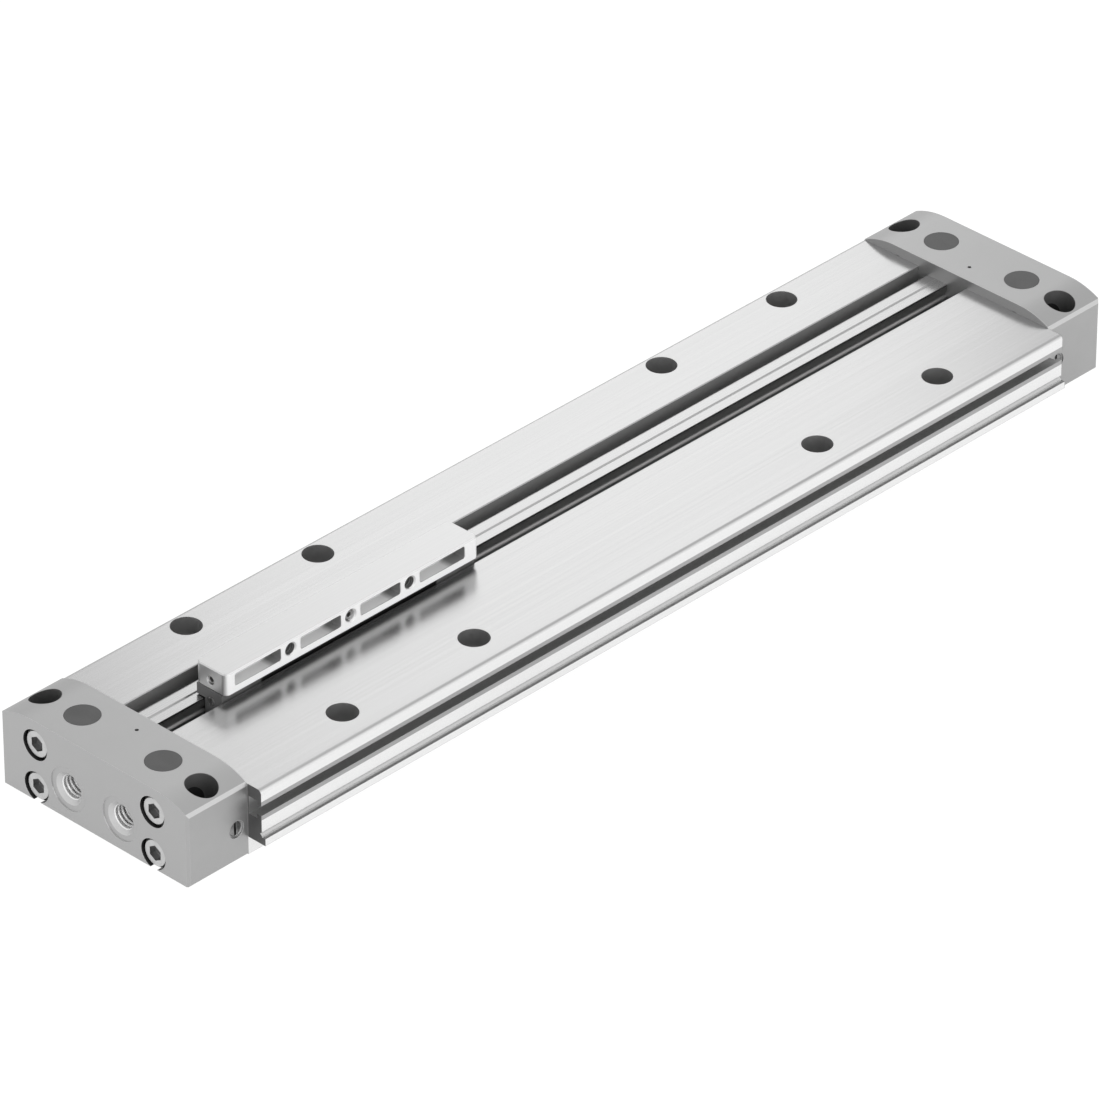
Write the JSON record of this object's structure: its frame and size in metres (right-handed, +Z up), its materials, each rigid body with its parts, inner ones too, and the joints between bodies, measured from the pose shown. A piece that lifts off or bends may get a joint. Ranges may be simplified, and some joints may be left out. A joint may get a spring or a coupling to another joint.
{
  "type": "rodless pneumatic linear drive",
  "caption": "Flat rodless air cylinder: low slide bar in a guide trough between two end caps, side sensor slot, threaded end ports, adjustable end cushions, through mounting holes.",
  "frame": {"origin": "centre of the mounting hole pattern, on the base plane", "axes": "+X along the stroke from the end where the slide stands at rest, +Y across towards the plain side, +Z up out of the mounting surface; the sensor rail is on the -Y side"},
  "size_m": [0.2178, 0.047, 0.0191],
  "materials": {
    "anodised_profile": "clear anodised extrusion",
    "anodised_cap": "clear anodised, fine satin",
    "anodised_bar": "clear anodised, ground",
    "rail_steel": "ground hardened steel",
    "carriage_steel": "ground",
    "screw_steel": "zinc plated",
    "polished_steel": "polished",
    "band_steel": "thin spring steel strip",
    "needle_steel": "turned stainless steel",
    "plug_black": "smooth dark plug",
    "black_plastic": "moulded black",
    "piston_plastic": "machined natural polyacetal",
    "yoke_aluminium": "turned",
    "magnet": "nickel plated ring magnet",
    "seal_rubber": "moulded rubber"
  },
  "bodies": {
    "housing": {"profile_barrel": "anodised_profile", "near_end_cap": "anodised_cap", "far_end_cap": "anodised_cap", "cap_screws": "screw_steel", "cap_plugs": "plug_black", "duct_ball": "polished_steel", "spigot_rings": "seal_rubber", "duct_rings": "seal_rubber", "cushion_seals": "seal_rubber", "guide_rail": "rail_steel", "rail_screws": "screw_steel", "sealing_band": "band_steel"},
    "slide": {"slide_bar": "anodised_bar", "lube_plug": "screw_steel", "bar_end_screws": "screw_steel", "bar_screws": "screw_steel", "guide_carriage": "carriage_steel", "right_ball_row": "polished_steel", "left_ball_row": "polished_steel", "near_carriage_end": "black_plastic", "far_carriage_end": "black_plastic", "carriage_end_screws": "screw_steel", "driver": "carriage_steel", "driver_screws": "screw_steel", "driver_pins": "polished_steel", "piston_yoke": "yoke_aluminium", "near_piston": "piston_plastic", "far_piston": "piston_plastic", "piston_seals": "seal_rubber", "piston_magnets": "magnet", "piston_bumpers": "seal_rubber", "piston_pins": "polished_steel"},
    "near_cushion": {"near_cushion_screw": "needle_steel", "near_cushion_screw_ring": "seal_rubber"},
    "far_cushion": {"far_cushion_screw": "needle_steel", "far_cushion_screw_ring": "seal_rubber"}
  },
  "joints": [
    {"name": "stroke", "type": "slide", "parent": "housing", "child": "slide", "axis": [1, 0, 0], "range_m": [0, 0.1073], "deforming": ["sealing_band"]},
    {"name": "near_cushion_turn", "type": "hinge", "parent": "housing", "child": "near_cushion", "pos_m": [-0.0982, -0.018, 0.006], "axis": [0, -1, 0], "range_deg": [0, 990]},
    {"name": "far_cushion_turn", "type": "hinge", "parent": "housing", "child": "far_cushion", "pos_m": [0.0982, -0.018, 0.006], "axis": [0, -1, 0], "range_deg": [0, 990]}
  ]
}
